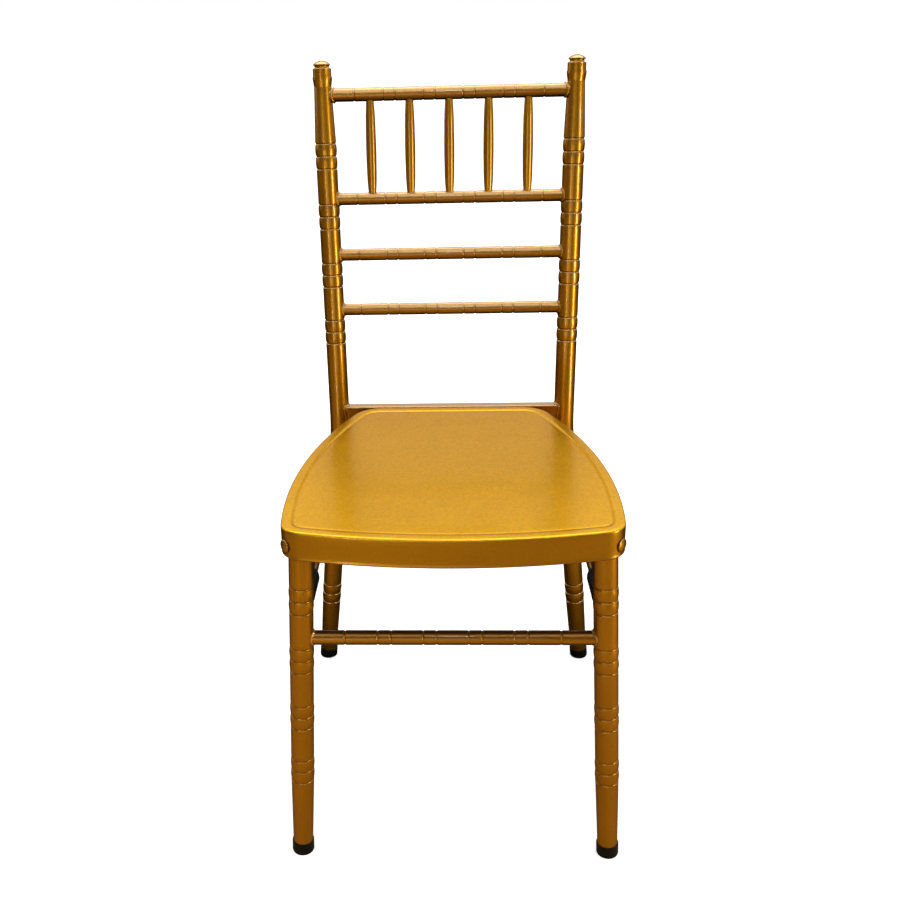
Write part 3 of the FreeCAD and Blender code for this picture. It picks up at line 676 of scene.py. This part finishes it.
@dataclass
class RailWelds:
    """Beads at both ends of every rail, stretcher and spindle, under one lacquer."""

    lacquer: bpy.types.Material
    top_rail_radius: float = 8.8 * MM
    back_rail_radius: float = 8.3 * MM
    stretcher_radius: float = 8.6 * MM
    spindle_radius: float = 4.4 * MM
    back_levels: tuple[float, ...] = (0.8765, 0.7423, 0.6672, 0.591)
    stretcher_level: float = 0.3145
    side_level: float = 0.355
    spindle_spacing: float = 52.5 * MM
    spindle_count: int = 5
    spindle_bead_leg: float = 1.1 * MM
    spindle_bead_dab: float = 1.6 * MM
    spindle_bead_points: int = 48
    rear_rail_size: Pair = (15.0 * MM, 30.0 * MM)
    front_rail_size: Pair = (15.0 * MM, 20.0 * MM)
    rail_corner: float = 2.0 * MM
    rear_rail_middle: Pair = (0.17881, 0.438)
    front_rail_drop: float = 12.2 * MM
    lid_gap: float = 0.05 * MM

    def lay(self) -> list[bpy.types.Object]:
        """Lay every bead and return them."""
        beads = []
        for name, side in SIDES.items():
            beads += self.back_rails(name, side)
            beads += self.stretchers(name, side)
            beads += self.seat_rails(name, side)
        return beads + self.spindles()

    def cross_rail(
        self, name: str, tube: RoundTube, level: float, towards: Vector, radius: float,
    ) -> bpy.types.Object:
        """Weld the end of a round cross rail to an upright tube.

        Args:
            name: name of the bead.
            tube: the upright tube.
            level: height at which the rail meets its axis.
            towards: unit direction of the rail towards the tube.
            radius: radius of the rail.

        Returns:
            The bead.
        """
        end = tube.at(level)
        start = Vector((0, end.y, end.z))
        section = BarSection.of_round(towards, radius)
        return WeldBead(name).build(start, towards, section, tube, self.lacquer)

    def back_rails(self, name: str, side: ChairSide) -> list[bpy.types.Object]:
        """Weld the rails of the back to one post.

        Args:
            name: name of the side.
            side: its tubes.

        Returns:
            The beads, from the top rail down.
        """
        beads = []
        for number, level in enumerate(self.back_levels, start=1):
            radius = self.back_rail_radius if number > 1 else self.top_rail_radius
            beads.append(self.cross_rail(
                f"back_rail_{number}_weld_{name}", side.post(), level, side.outward(), radius))
        return beads

    def stretchers(self, name: str, side: ChairSide) -> list[bpy.types.Object]:
        """Weld the cross stretchers and the side stretcher to the legs of one side.

        Args:
            name: name of the side.
            side: its tubes.

        Returns:
            The beads, those of the front leg first.
        """
        beads = []
        front, rear = side.front_leg(), side.rear_leg()
        for end, leg, other in (("front", front, rear), ("rear", rear, front)):
            beads.append(self.cross_rail(
                f"{end}_stretcher_weld_{name}", leg, self.stretcher_level, side.outward(),
                self.stretcher_radius))
            start = other.at(self.side_level)
            along = (leg.at(self.side_level) - start).normalized()
            section = BarSection.of_round(along, self.stretcher_radius)
            beads.append(WeldBead(f"side_stretcher_weld_{end}_{name}").build(
                start, along, section, leg, self.lacquer))
        return beads

    def seat_rails(self, name: str, side: ChairSide) -> list[bpy.types.Object]:
        """Weld the rectangular rails under the seat to the post and the front leg of one side.

        Args:
            name: name of the side.
            side: its tubes.

        Returns:
            The bead at the post and the one at the front leg.
        """
        depth, level = self.rear_rail_middle
        section = BarSection.of_box(
            Vector((0, 1, 0)), Vector((0, 0, 1)), *self.rear_rail_size, self.rail_corner)
        rear = WeldBead(f"rear_rail_weld_{name}").build(
            Vector((0, depth, level)), side.outward(), section, side.post(), self.lacquer)
        seat = PressedSeat().placement()
        up = seat.to_3x3() @ Vector((0, 0, 1))
        ahead = seat.to_3x3() @ Vector((0, 1, 0))
        leg = side.front_leg()
        top = seat.inverted() @ leg.high
        start = seat @ Vector((0, top.y, -self.front_rail_drop))
        section = BarSection.of_box(ahead, up, *self.front_rail_size, self.rail_corner)
        lid = (start + up * (self.front_rail_size[1] / 2 - self.lid_gap), up)
        front = WeldBead(f"front_rail_weld_{name}", lid=lid).build(
            start, side.outward(), section, leg, self.lacquer)
        return [rear, front]

    def spindles(self) -> list[bpy.types.Object]:
        """Weld each spindle to the two rails that hold it, and return the beads."""
        beads = []
        post = SIDES["right"].post()
        low, high = post.at(self.back_levels[1]), post.at(self.back_levels[0])
        up = Vector((0, high.y - low.y, high.z - low.z)).normalized()
        half = Vector((1, 0, 0))
        for index in range(self.spindle_count):
            across = (index - (self.spindle_count - 1) / 2) * self.spindle_spacing
            middle = Vector((across, (low.y + high.y) / 2, (low.z + high.z) / 2))
            for end, point, along, radius in (
                ("foot", low, -up, self.back_rail_radius), ("head", high, up, self.top_rail_radius),
            ):
                centre = Vector((0, point.y, point.z))
                rail = RoundTube(centre - half, centre + half, radius)
                section = BarSection.of_round(along, self.spindle_radius, self.spindle_bead_points)
                beads.append(WeldBead(
                    f"spindle_{index + 1}_weld_{end}", leg=self.spindle_bead_leg,
                    dab=self.spindle_bead_dab).build(middle, along, section, rail, self.lacquer))
        return beads


# --------------------------------------------------------------------------- tubes and rubbers


@dataclass
class TubeFrame:
    """Legs, posts, rails, spindles, screws and rubbers, which keep their CAD meshes."""

    legs: tuple[str, ...] = ("front_leg_left", "front_leg_right")
    uprights: tuple[str, ...] = (
        "rear_post_left", "rear_post_right", "post_cap_left", "post_cap_right",
        "spindle_1", "spindle_2", "spindle_3", "spindle_4", "spindle_5",
    )
    crossing: tuple[str, ...] = (
        "top_rail", "spindle_rail", "middle_back_rail", "lower_back_rail", "rear_seat_rail",
    )
    stretchers: tuple[str, ...] = ("front_stretcher", "rear_stretcher", "front_seat_rail")
    lengthwise: tuple[str, ...] = (
        "side_stretcher_left", "side_stretcher_right", "side_seat_rail_left",
        "side_seat_rail_right",
    )
    screws: tuple[str, ...] = ("seat_screw_left", "seat_screw_right")
    rubbers: tuple[str, ...] = (
        "foot_cap_front_left", "foot_cap_front_right", "foot_cap_rear_left",
        "foot_cap_rear_right", "stacking_bumper_left", "stacking_bumper_right",
    )

    def dress(self) -> None:
        """Give every node its finish."""
        finishes = (
            (self.legs, LEG_LACQUER),
            (self.uprights, UPRIGHT_LACQUER),
            (self.crossing, CROSS_LACQUER_PAINTED_SHADE),
            (self.stretchers, STRETCHER_LACQUER_PAINTED_SHADE),
            (self.lengthwise, SIDE_LACQUER),
            (self.screws, SCREW_LACQUER),
            (self.rubbers, RUBBER),
        )
        for names, finish in finishes:
            material = finish.material()
            for name in names:
                self.paint(name, material)
            LOG.info("%s on %d nodes", finish.name, len(names))

    @staticmethod
    def paint(name: str, material: bpy.types.Material) -> None:
        """Put one material on every face of a node."""
        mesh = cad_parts[name].data
        mesh.materials.clear()
        mesh.materials.append(material)


# --------------------------------------------------------------------------- seat


@dataclass
class PressedSeat:
    """Seat pan pressed from steel sheet: round edge, flat rim, drawn line, sunk panel and skirt.

    Sizes are in millimetres, apart from the place of the rear edge. Insets are measured from the
    widest outline and heights from the rim. The drawn line's heights are shares of the panel's
    depth, those of the hem count from the skirt's lower edge, and the insets of its inner side
    count outward from the sheet's inner face.
    """

    rear_edge: Pair = (0.171308, 0.452)
    tilt_degrees: float = 1.25
    depth: float = 414.0
    half_width: float = 196.8
    widest_from_rear: float = 303.0
    side_radius: float = 680.0
    front_radius: float = 800.0
    front_corner: float = 30.0
    rear_corner: float = 40.0
    skirt: float = 35.0
    sheet: float = 1.2
    hem: float = 0.5
    edge_round: float = 2.6
    rim_edge: float = 8.0
    panel_depth: float = 0.8
    line: tuple[Pair, ...] = (
        (11.0, 0.0), (12.0, -0.07), (13.0, -0.35), (14.0, -0.85), (15.0, -1.2), (16.2, -1.32),
        (17.4, -1.2), (18.6, -1.04), (20.5, -1.0), (24.0, -1.0),
    )
    inner_levels: Pair = (-12.0, -24.0)
    hem_inside: tuple[Pair, ...] = ((0.0, 1.4), (0.3, 0.4), (0.7, 0.0))
    hem_outside: tuple[Pair, ...] = (
        (0.6, 0.05), (0.15, 0.5), (0.0, 1.1), (0.15, 2.0), (0.4, 3.2),
    )
    hem_height: float = 4.6
    outer_levels: tuple[float, ...] = (-24.0, -16.0, -9.0)
    rim_lacquer_share: float = 0.7  # how far down its round edge the rim's paler lacquer, painted light, reaches before the skirt's painted shade
    arc_steps: tuple[int, ...] = (16, 16, 36, 16)
    rear_steps: int = 10
    fillet_steps: int = 6
    panel_middle: float = 0.55
    panel_scales: tuple[float, ...] = (0.9, 0.75, 0.55, 0.35, 0.15)

    def placement(self) -> Matrix:
        """Frame of the seat: its origin is the rim's rear edge, its Z axis leans back."""
        origin = Vector((0, *self.rear_edge))
        tilt = Matrix.Rotation(-math.radians(self.tilt_degrees), 4, "X")
        return Matrix.Translation(origin) @ tilt

    def arcs(self, inset: float) -> list[tuple[Vector, float, float, float]]:
        """Right half of the outline, from the middle of the front edge to the rear corner.

        Args:
            inset: distance from the widest outline.

        Returns:
            Centre, radius, first and last angle of each arc.
        """
        front = Vector((0, self.front_radius - self.depth))
        side = Vector((self.half_width - self.side_radius, -self.widest_from_rear))
        to_corner = self.front_radius - self.front_corner
        to_side = self.side_radius - self.front_corner
        span = side - front
        along = (to_corner ** 2 - to_side ** 2 + span.length_squared) / (2 * span.length)
        rise = math.sqrt(to_corner ** 2 - along ** 2)
        unit = span.normalized()
        corner = front + unit * along + Vector((-unit.y, unit.x)) * rise
        level = -self.rear_corner
        reach = math.sqrt((self.side_radius - self.rear_corner) ** 2 - (level - side.y) ** 2)
        rear = Vector((side.x + reach, level))
        low = math.atan2(corner.y - front.y, corner.x - front.x)
        bow = math.atan2(corner.y - side.y, corner.x - side.x)
        shoulder = math.atan2(rear.y - side.y, rear.x - side.x)
        return [
            (front, self.front_radius - inset, -math.pi / 2, low),
            (corner, self.front_corner - inset, low, bow),
            (side, self.side_radius - inset, bow, shoulder),
            (rear, self.rear_corner - inset, shoulder, math.pi / 2),
        ]

    def outline(self, inset: float) -> list[Pair]:
        """Closed outline in millimetres at an inset from the seat's edge."""
        right = []
        arcs = self.arcs(inset)
        for (centre, radius, start, end), steps in zip(arcs, self.arc_steps):
            for step in range(steps):
                angle = start + (end - start) * step / steps
                right.append(
                    (centre.x + radius * math.cos(angle), centre.y + radius * math.sin(angle)))
        centre, radius = arcs[-1][:2]
        for step in range(self.rear_steps):
            right.append((centre.x * (1 - step / self.rear_steps), centre.y + radius))
        left = [(-x, y) for x, y in reversed(right[1:])]
        return right + [(0.0, centre.y + radius)] + left

    def fillet(self, radius: float, wall: float, top: float) -> list[Pair]:
        """Quarter round from a wall up to a flat top, as insets and heights."""
        angles = [math.pi / 2 * step / self.fillet_steps for step in range(self.fillet_steps + 1)]
        return [
            (wall + radius * (1 - math.cos(angle)), top - radius * (1 - math.sin(angle)))
            for angle in angles
        ]

    def section(self) -> list[Pair]:
        """Sheet section as insets and heights.

        Returns:
            Its points from the panel's underside, round the skirt's hem, to the panel's top.
        """
        under = -self.sheet
        back = self.hem + self.sheet
        bottom = -self.skirt
        panel = [(inset, share * self.panel_depth) for inset, share in self.line]
        below = [(inset, height + under) for inset, height in reversed(panel)]
        inner = self.fillet(self.edge_round - self.sheet, back, under)[::-1]
        inner += [(back, level) for level in self.inner_levels]
        inner += [(back - out, bottom + height) for out, height in self.hem_inside]
        outer = [(inset, bottom + height) for inset, height in self.hem_outside]
        outer += [(self.hem, bottom + self.hem_height)]
        outer += [(self.hem, level) for level in self.outer_levels]
        outer += self.fillet(self.edge_round, self.hem, 0.0)
        return below + inner + outer + [(self.rim_edge, 0.0)] + panel

    def build(
        self, material: bpy.types.Material, painted_shade_skirt_material: bpy.types.Material,
    ) -> bpy.types.Object:
        """Make the pan in place of the plain CAD one.

        Args:
            material: lacquer of the panel and the rim, paler with painted light.
            painted_shade_skirt_material: lacquer of the skirt, a darker copy of the rim's lacquer,
                painted shade on the sheet that faces the side.

        Returns:
            The pan's object.
        """
        placement = self.placement()
        builder = MeshBuilder("pressed_seat_pan")
        section = self.section()
        rings = []
        for inset, height in section:
            rings.append(builder.ring(
                placement @ (Vector((x, y, height)) * MM) for x, y in self.outline(inset)
            ))
        for first, second in zip(rings, rings[1:]):
            builder.bridge(first, second)
        self.close(builder, rings[-1], section[-1][1], placement, False)
        self.close(builder, rings[0], section[0][1], placement, True)
        piece = builder.build(material, "seat_lacquer")
        piece.data.materials.append(painted_shade_skirt_material)
        inverse = placement.inverted()
        # Faces below the round edge take the skirt's darker lacquer, painted shade.
        for face in piece.data.polygons:
            middle_height = (inverse @ face.center).z / MM
            face.material_index = int(middle_height < -self.edge_round * self.rim_lacquer_share)
        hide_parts("seat_pan")
        return piece

    def close(
        self, builder: MeshBuilder, ring: list[int], level: float, placement: Matrix, below: bool,
    ) -> None:
        """Fill the panel inside a ring with ever smaller rings.

        Args:
            builder: the pan's mesh.
            ring: the section's first or last ring.
            level: its height.
            placement: frame of the seat.
            below: true on the underside, where the faces turn the other way round.
        """
        middle = Vector((0, -self.depth * self.panel_middle))
        edge = self.outline(self.line[-1][0])
        last = ring
        for scale in self.panel_scales:
            spots = [
                (middle.x + (x - middle.x) * scale, middle.y + (y - middle.y) * scale, level)
                for x, y in edge
            ]
            following = builder.ring(placement @ (Vector(spot) * MM) for spot in spots)
            if below:
                builder.bridge(following, last)
            else:
                builder.bridge(last, following)
            last = following
        tip = placement @ (Vector((middle.x, middle.y, level)) * MM)
        builder.fan(last[::-1] if below else last, tip)


# --------------------------------------------------------------------------- studio


@dataclass(frozen=True)
class Lamp:
    """Soft rectangular lamp that faces a point and that the camera doesn't see."""

    name: str
    place: Spot
    aim: Spot
    size: Pair
    watts: float

    def hang(self) -> None:
        """Add the lamp to the scene."""
        data = bpy.data.lights.new(self.name, "AREA")
        data.shape = "RECTANGLE"
        data.size, data.size_y = self.size
        data.energy = self.watts
        lamp = bpy.data.objects.new(self.name, data)
        lamp.location = self.place
        facing = Vector(self.aim) - Vector(self.place)
        lamp.rotation_euler = facing.to_track_quat("-Z", "Y").to_euler()
        lamp.visible_camera = False
        bpy.context.scene.collection.objects.link(lamp)


@dataclass
class Studio:
    """Floor and surroundings, soft lamps, and a camera where the photographer stood.

    The eye sees white all round. The chair mirrors a pale wall behind it and a warm floor with a
    painted shadow behind the chair, and is lit by a plainer grey.
    """

    camera_place: Spot = (0.0006, -1.2544, 1.0159)
    yaw: float = -0.0546
    pitch: float = 0.42
    roll: float = -0.0295
    lens_mm: float = 42.6
    sensor_mm: float = 36.0
    shift: Pair = (0.0569, 0.0047)
    lamps: tuple[Lamp, ...] = (
        Lamp("ceiling_softbox", (0.0, 0.1, 2.8), (0, 0, 0.4), (2.6, 1.4), 13.0),
        Lamp("ceiling_tube", (0.0, 0.95, 2.4), (0, 0.2, 0.7), (2.6, 0.8), 20.0),
        Lamp("front_ceiling", (0.0, -1.0, 2.6), (0, 0.1, 0.7), (2.6, 1.0), 11.0),
        Lamp("front_panel", (-0.2, -2.25, 0.6), (0, 0, 0.5), (1.0, 1.2), 2.6),
        Lamp("right_strip", (1.9, -0.9, 0.55), (0, 0, 0.6), (0.24, 1.1), 15.0),
        Lamp("left_strip", (-0.75, -1.9, 0.6), (0, 0, 0.6), (0.09, 1.2), 3.4),
    )
    bulbs: int = 5
    bulb_spacing: float = 0.6
    bulb_depth: float = -1.6
    bulb_level: float = 2.1
    bulb_stagger: float = 0.2
    bulb_aim: Spot = (0, 0.2, 0.6)
    bulb_size: Pair = (0.14, 0.14)
    bulb_watts: float = 1.3
    skyline: Pair = (-0.06, 0.08)
    wall_edge: Pair = (-0.2, 0.3)
    wall_light: Pair = (0.1, 1.18)
    fill_light: float = 0.4
    floor_half: float = 40.0
    floor_drop: float = 0.2 * MM
    floor_lit: str = "#A8A49C"
    floor_mirrored: str = "#B59A66"
    # Painted shadow: mirrored rays see the floor this dark from floor_behind on, under and behind
    # the chair.
    floor_mirrored_painted_shadow: str = "#1E1B17"
    floor_behind: Pair = (-0.1, 0.2)
    shadow_reach: Pair = (0.6, 1.5)
    floor_glow: Pair = (0.5, 1.0)

    def camera(self) -> None:
        """Place the camera."""
        ahead = Vector((
            math.sin(self.yaw) * math.cos(self.pitch), math.cos(self.yaw) * math.cos(self.pitch),
            -math.sin(self.pitch)))
        right = Vector((math.cos(self.yaw), -math.sin(self.yaw), 0))
        up = right.cross(ahead)
        turned = right * math.cos(self.roll) + up * math.sin(self.roll)
        upright = up * math.cos(self.roll) - right * math.sin(self.roll)
        data = bpy.data.cameras.new("photo_camera")
        data.lens = self.lens_mm
        data.sensor_width = self.sensor_mm
        data.sensor_fit = "HORIZONTAL"
        data.shift_x, data.shift_y = self.shift
        camera = bpy.data.objects.new("photo_camera", data)
        bpy.context.scene.collection.objects.link(camera)
        matrix = Matrix((turned, upright, -ahead)).transposed().to_4x4()
        matrix.translation = Vector(self.camera_place)
        camera.matrix_world = matrix
        bpy.context.scene.camera = camera

    def lights(self) -> None:
        """Hang the lamps and a staggered row of bulbs."""
        for lamp in self.lamps:
            lamp.hang()
        for number in range(self.bulbs):
            across = (number - (self.bulbs - 1) / 2) * self.bulb_spacing
            level = self.bulb_level + self.bulb_stagger * (number % 2)
            Lamp(
                f"bulb_{number + 1}", (across, self.bulb_depth, level), self.bulb_aim,
                self.bulb_size, self.bulb_watts).hang()

    def surroundings(self) -> None:
        """Set the world: white for the eye, a pale rear wall to mirror, grey light for the rest."""
        world = bpy.data.worlds.new("white_room")
        bpy.context.scene.world = world
        tree = fresh_tree(world)
        path = add_node(tree, "ShaderNodeLightPath")
        eye = eye_ray(tree, path)
        shown = combine(tree, "MAXIMUM", eye, path.outputs["Is Glossy Ray"])
        way = add_node(tree, "ShaderNodeSeparateXYZ", {
            "Vector": add_node(tree, "ShaderNodeTexCoord").outputs["Generated"]})
        above = ramp(tree, way.outputs["Z"], self.skyline, smooth=True)
        behind = ramp(tree, way.outputs["Y"], self.wall_edge, smooth=True)
        wall = mix_value(tree, combine(tree, "MULTIPLY", above, behind), *self.wall_light)
        mirrored = mix_value(tree, eye, wall, 1.0)
        background = add_node(tree, "ShaderNodeBackground", {
            "Color": linear(WHITE), "Strength": mix_value(tree, shown, self.fill_light, mirrored)})
        add_node(tree, "ShaderNodeOutputWorld", {"Surface": background.outputs["Background"]})

    def floor_material(self) -> bpy.types.Material:
        """Build the floor's material, which looks white and keeps the chair's shadow, and shows
        mirrored rays a painted shadow behind the chair.
        """
        made = bpy.data.materials.new("pale studio floor")
        tree = fresh_tree(made)
        path = add_node(tree, "ShaderNodeLightPath")
        eye = eye_ray(tree, path)
        mirror = path.outputs["Is Glossy Ray"]
        place = add_node(tree, "ShaderNodeTexCoord").outputs["Object"]
        side = add_node(tree, "ShaderNodeSeparateXYZ", {"Vector": place})
        # Painted shadow: mirrored rays see the floor dark behind the chair.
        behind = ramp(tree, side.outputs["Y"], self.floor_behind, smooth=True)
        dark = combine(tree, "MULTIPLY", behind, mirror)
        pale = mix_colour(tree, mirror, linear(self.floor_lit), linear(self.floor_mirrored))
        plain = mix_colour(tree, dark, pale, linear(self.floor_mirrored_painted_shadow))
        tone = mix_colour(tree, eye, plain, linear(WHITE))
        matt = add_node(tree, "ShaderNodeBsdfDiffuse", {"Color": tone})
        away = add_node(tree, "ShaderNodeVectorMath", {0: place}, operation="LENGTH")
        rise = ramp(tree, away.outputs["Value"], self.shadow_reach, self.floor_glow, smooth=True)
        glow = add_node(tree, "ShaderNodeEmission", {
            "Color": linear(WHITE), "Strength": combine(tree, "MULTIPLY", eye, rise)})
        both = add_node(tree, "ShaderNodeAddShader", {
            0: matt.outputs["BSDF"], 1: glow.outputs["Emission"]})
        add_node(tree, "ShaderNodeOutputMaterial", {"Surface": both.outputs["Shader"]})
        return made

    def floor(self) -> None:
        """Lay the floor just under the feet."""
        half = self.floor_half
        mesh = bpy.data.meshes.new("floor")
        corners = [(-half, -half, 0), (half, -half, 0), (half, half, 0), (-half, half, 0)]
        mesh.from_pydata(corners, [], [(0, 1, 2, 3)])
        mesh.materials.append(self.floor_material())
        floor = bpy.data.objects.new("floor", mesh)
        floor.location.z = -self.floor_drop
        bpy.context.scene.collection.objects.link(floor)

    def build(self) -> None:
        """Set up everything round the chair."""
        bpy.context.scene.view_settings.view_transform = "Standard"
        self.camera()
        self.lights()
        self.surroundings()
        self.floor()


def main() -> None:
    """Set up the studio, dress the frame, add the welds and the seat, and log how many beads and
    faces were made.
    """
    logging.basicConfig(level=logging.INFO, format="%(name)s: %(message)s")
    Studio().build()
    TubeFrame().dress()
    beads = RailWelds(WELD_LACQUER.material()).lay()
    LOG.info("%d weld beads", len(beads))
    seat = PressedSeat().build(SEAT_LACQUER_PAINTED_LIGHT.material(), SKIRT_LACQUER_PAINTED_SHADE.material())
    LOG.info("%s with %d faces", seat.name, len(seat.data.polygons))


if __name__ == "__main__":
    main()
